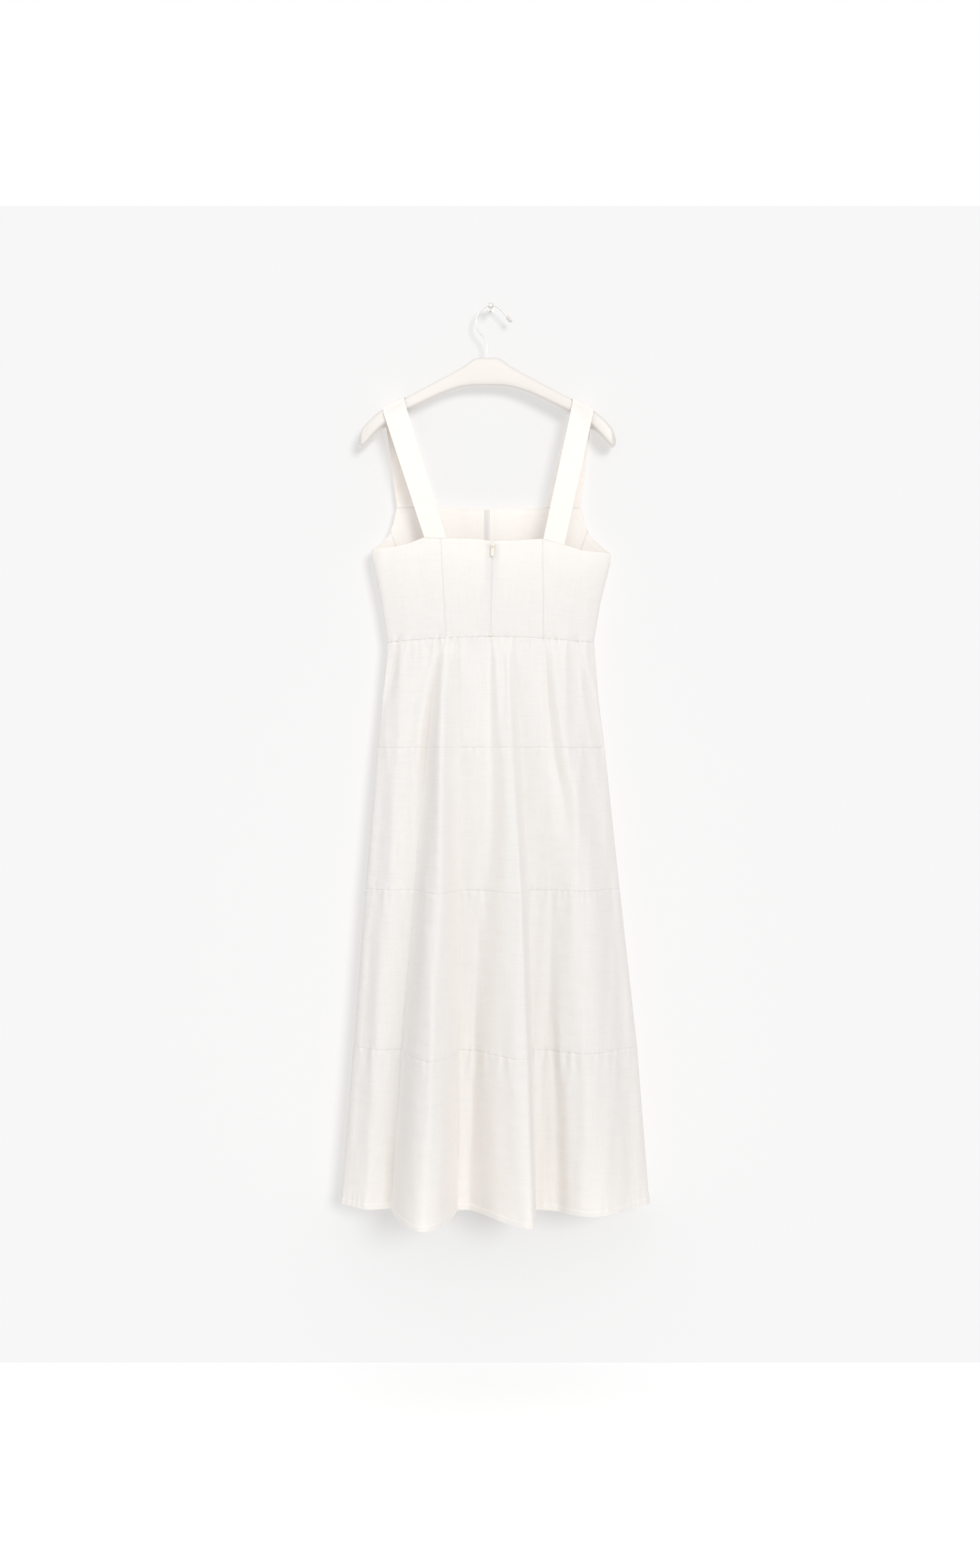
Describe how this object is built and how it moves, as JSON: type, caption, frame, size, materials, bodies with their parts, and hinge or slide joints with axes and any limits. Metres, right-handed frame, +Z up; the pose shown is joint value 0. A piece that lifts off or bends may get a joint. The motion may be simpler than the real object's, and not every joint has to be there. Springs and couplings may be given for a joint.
{
  "type": "linen dress on hanger with wall peg",
  "caption": "Long sleeveless tiered dress in ivory linen with shoulder straps and a back zip, hanging on a contoured hanger from a wall peg.",
  "frame": {"origin": "middle of the wall peg's flat back face, on the wall", "axes": "+Z up, +Y into the wall, +X to the right as seen from the room; the dress's zipped back faces the room"},
  "size_m": [0.5012, 0.1862, 1.4759],
  "materials": {
    "linen": "ivory linen, plain weave",
    "hanger_enamel": "off-white satin enamel",
    "steel": "plated steel",
    "zip_coating": "off-white coating"
  },
  "bodies": {
    "dress": {"bodice_back_left": "linen", "bodice_back_right": "linen", "bodice_side_back_left": "linen", "bodice_side_back_right": "linen", "bodice_front_left": "linen", "bodice_front_right": "linen", "bodice_side_front_left": "linen", "bodice_side_front_right": "linen", "strap_left": "linen", "strap_right": "linen", "skirt_back_1": "linen", "skirt_back_2": "linen", "skirt_back_3": "linen", "skirt_back_4": "linen", "skirt_front_1": "linen", "skirt_front_2": "linen", "skirt_front_3": "linen", "skirt_front_4": "linen", "hanger_body": "hanger_enamel", "hanger_hook": "steel", "hook_sleeve": "hanger_enamel", "wall_peg": "steel", "zip_tape": "linen", "zip_slider": "zip_coating", "zip_stop": "zip_coating"},
    "pull_tab": {"zip_pull": "zip_coating"}
  },
  "joints": [
    {"name": "pull_tab_swing", "type": "hinge", "parent": "dress", "child": "pull_tab", "pos_m": [0.00289, -0.06795, -0.396], "axis": [-1, 0, 0], "range_deg": [0, 165]}
  ]
}
